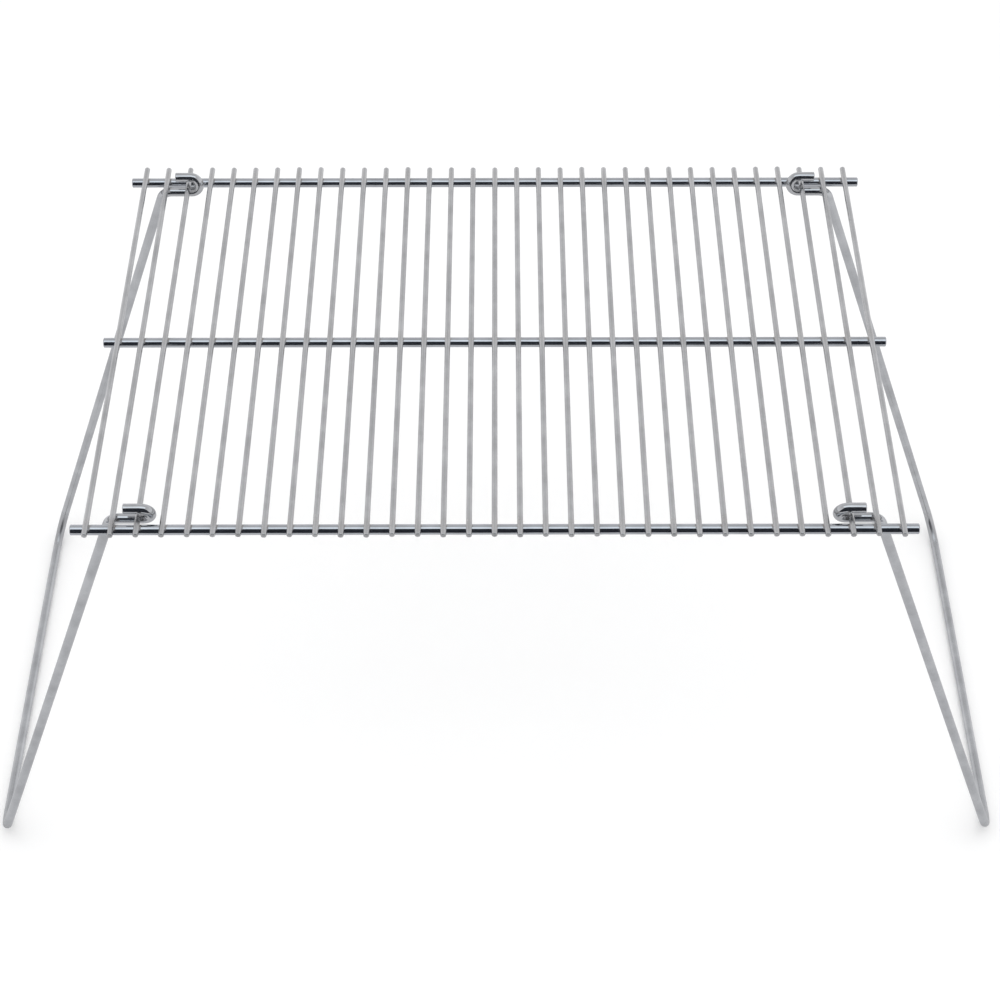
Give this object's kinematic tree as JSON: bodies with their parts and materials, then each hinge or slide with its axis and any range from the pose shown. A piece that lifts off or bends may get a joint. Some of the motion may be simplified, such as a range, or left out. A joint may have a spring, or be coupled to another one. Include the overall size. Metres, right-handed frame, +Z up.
{
  "type": "folding camp grill",
  "caption": "Free-standing folding campfire grill: a welded wire grate on cross rods, carried by two hinged U-shaped wire legs that fold flat under it.",
  "frame": {"origin": "on the floor, midway between the two legs' foot bars and below the middle of the grate", "axes": "+X along the cross rods from the left leg to the right leg, +Y along the grill wires to the rear, +Z up"},
  "size_m": [0.7262, 0.328, 0.3801],
  "materials": {
    "cross_rod_steel": "bright plated round rod",
    "grill_wire_steel": "satin drawn wire, bright plated",
    "leg_wire_steel": "bright plated bent wire"
  },
  "bodies": {
    "grate": {"front_cross_rod": "cross_rod_steel", "middle_cross_rod": "cross_rod_steel", "rear_cross_rod": "cross_rod_steel", "grill_wire_01": "grill_wire_steel", "grill_wire_02": "grill_wire_steel", "grill_wire_03": "grill_wire_steel", "grill_wire_04": "grill_wire_steel", "grill_wire_05": "grill_wire_steel", "grill_wire_06": "grill_wire_steel", "grill_wire_07": "grill_wire_steel", "grill_wire_08": "grill_wire_steel", "grill_wire_09": "grill_wire_steel", "grill_wire_10": "grill_wire_steel", "grill_wire_11": "grill_wire_steel", "grill_wire_12": "grill_wire_steel", "grill_wire_13": "grill_wire_steel", "grill_wire_14": "grill_wire_steel", "grill_wire_15": "grill_wire_steel", "grill_wire_16": "grill_wire_steel", "grill_wire_17": "grill_wire_steel", "grill_wire_18": "grill_wire_steel", "grill_wire_19": "grill_wire_steel", "grill_wire_20": "grill_wire_steel", "grill_wire_21": "grill_wire_steel", "grill_wire_22": "grill_wire_steel", "grill_wire_23": "grill_wire_steel", "grill_wire_24": "grill_wire_steel", "grill_wire_25": "grill_wire_steel", "grill_wire_26": "grill_wire_steel", "grill_wire_27": "grill_wire_steel", "grill_wire_28": "grill_wire_steel", "grill_wire_29": "grill_wire_steel", "grill_wire_30": "grill_wire_steel", "grill_wire_31": "grill_wire_steel", "grill_wire_32": "grill_wire_steel", "grill_wire_33": "grill_wire_steel"},
    "left_leg": {"left_leg": "leg_wire_steel"},
    "right_leg": {"right_leg": "leg_wire_steel"}
  },
  "joints": [
    {"name": "left_leg_fold", "type": "hinge", "parent": "grate", "child": "left_leg", "pos_m": [-0.21, 0, 0.3709], "axis": [0, -1, 0], "range_deg": [0, 110.5]},
    {"name": "right_leg_fold", "type": "hinge", "parent": "grate", "child": "right_leg", "pos_m": [0.21, 0, 0.3709], "axis": [0, 1, 0], "range_deg": [0, 102.4]}
  ]
}
